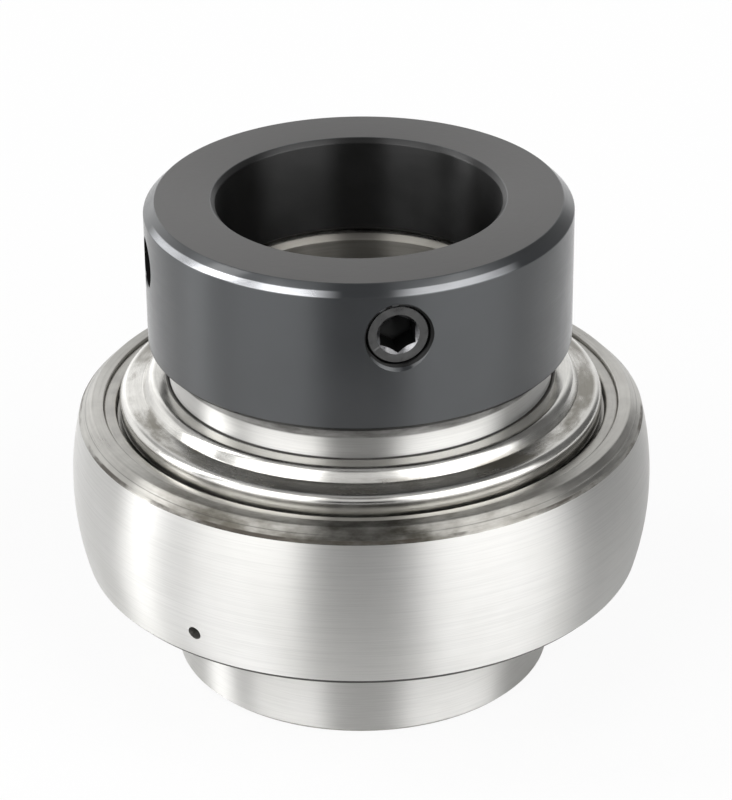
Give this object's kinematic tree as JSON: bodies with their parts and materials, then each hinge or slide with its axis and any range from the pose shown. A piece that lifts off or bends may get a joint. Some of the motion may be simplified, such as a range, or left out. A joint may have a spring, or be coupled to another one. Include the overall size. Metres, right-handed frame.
{
  "type": "insert bearing",
  "caption": "Sealed insert ball bearing with a spherical outer seat, a long inner ring and an eccentric locking collar with a set screw.",
  "frame": {"origin": "centre of the spherical seat and of the balls, on the shaft axis", "axes": "+Z along the shaft axis towards the locking collar, -Y to the front, +X to the right of the front view"},
  "size_m": [0.052, 0.052, 0.0444],
  "materials": {
    "ring_steel": "ground and polished bearing steel",
    "ball_steel": "mirror polished bearing steel",
    "cage_steel": "pressed sheet steel",
    "rivet_steel": "plain steel",
    "seal_steel": "pressed sheet steel, satin",
    "seal_rubber": "matt nitrile rubber",
    "slinger_steel": "bright pressed sheet steel",
    "collar_steel": "black oxide, satin",
    "screw_steel": "black oxide, satin"
  },
  "bodies": {
    "inner": {"inner_ring": "ring_steel", "upper_slinger": "slinger_steel", "lower_slinger": "slinger_steel"},
    "outer": {"outer_ring": "ring_steel", "upper_seal_case": "seal_steel", "upper_seal_lip": "seal_rubber", "lower_seal_case": "seal_steel", "lower_seal_lip": "seal_rubber"},
    "cage": {"cage_upper": "cage_steel", "cage_lower": "cage_steel", "cage_rivets": "rivet_steel"},
    "ball_1": {"ball_1": "ball_steel"},
    "ball_2": {"ball_2": "ball_steel"},
    "ball_3": {"ball_3": "ball_steel"},
    "ball_4": {"ball_4": "ball_steel"},
    "ball_5": {"ball_5": "ball_steel"},
    "ball_6": {"ball_6": "ball_steel"},
    "ball_7": {"ball_7": "ball_steel"},
    "ball_8": {"ball_8": "ball_steel"},
    "ball_9": {"ball_9": "ball_steel"},
    "collar": {"locking_collar": "collar_steel"},
    "screw": {"set_screw": "screw_steel"}
  },
  "joints": [
    {"name": "outer_spin", "type": "hinge", "parent": "inner", "child": "outer", "pos_m": [0, 0, 0], "axis": [0, 0, 1], "continuous": true},
    {"name": "cage_spin", "type": "hinge", "parent": "inner", "child": "cage", "pos_m": [0, 0, 0], "axis": [0, 0, 1], "continuous": true},
    {"name": "ball_1_spin", "type": "hinge", "parent": "cage", "child": "ball_1", "pos_m": [0.01953, 0, 0], "axis": [0, 0, 1], "continuous": true},
    {"name": "ball_2_spin", "type": "hinge", "parent": "cage", "child": "ball_2", "pos_m": [0.01496, 0.01255, 0], "axis": [0, 0, 1], "continuous": true},
    {"name": "ball_3_spin", "type": "hinge", "parent": "cage", "child": "ball_3", "pos_m": [0.00339, 0.01923, 0], "axis": [0, 0, 1], "continuous": true},
    {"name": "ball_4_spin", "type": "hinge", "parent": "cage", "child": "ball_4", "pos_m": [-0.00976, 0.01691, 0], "axis": [0, 0, 1], "continuous": true},
    {"name": "ball_5_spin", "type": "hinge", "parent": "cage", "child": "ball_5", "pos_m": [-0.01835, 0.00668, 0], "axis": [0, 0, 1], "continuous": true},
    {"name": "ball_6_spin", "type": "hinge", "parent": "cage", "child": "ball_6", "pos_m": [-0.01835, -0.00668, 0], "axis": [0, 0, 1], "continuous": true},
    {"name": "ball_7_spin", "type": "hinge", "parent": "cage", "child": "ball_7", "pos_m": [-0.00976, -0.01691, 0], "axis": [0, 0, 1], "continuous": true},
    {"name": "ball_8_spin", "type": "hinge", "parent": "cage", "child": "ball_8", "pos_m": [0.00339, -0.01923, 0], "axis": [0, 0, 1], "continuous": true},
    {"name": "ball_9_spin", "type": "hinge", "parent": "cage", "child": "ball_9", "pos_m": [0.01496, -0.01255, 0], "axis": [0, 0, 1], "continuous": true},
    {"name": "collar_lock", "type": "hinge", "parent": "inner", "child": "collar", "pos_m": [0, 0, 0], "axis": [0, 0, 1], "range_deg": [-28, 28]},
    {"name": "screw_travel", "type": "slide", "parent": "collar", "child": "screw", "axis": [0.1736, -0.9848, 0], "range_m": [-0.0015, 0.0025]}
  ],
  "couplings": [
    {"joint": "cage_spin", "follows": "outer_spin", "ratio": 0.60164},
    {"joint": "ball_1_spin", "follows": "outer_spin", "ratio": 2.358},
    {"joint": "ball_2_spin", "follows": "outer_spin", "ratio": 2.358},
    {"joint": "ball_3_spin", "follows": "outer_spin", "ratio": 2.358},
    {"joint": "ball_4_spin", "follows": "outer_spin", "ratio": 2.358},
    {"joint": "ball_5_spin", "follows": "outer_spin", "ratio": 2.358},
    {"joint": "ball_6_spin", "follows": "outer_spin", "ratio": 2.358},
    {"joint": "ball_7_spin", "follows": "outer_spin", "ratio": 2.358},
    {"joint": "ball_8_spin", "follows": "outer_spin", "ratio": 2.358},
    {"joint": "ball_9_spin", "follows": "outer_spin", "ratio": 2.358}
  ]
}
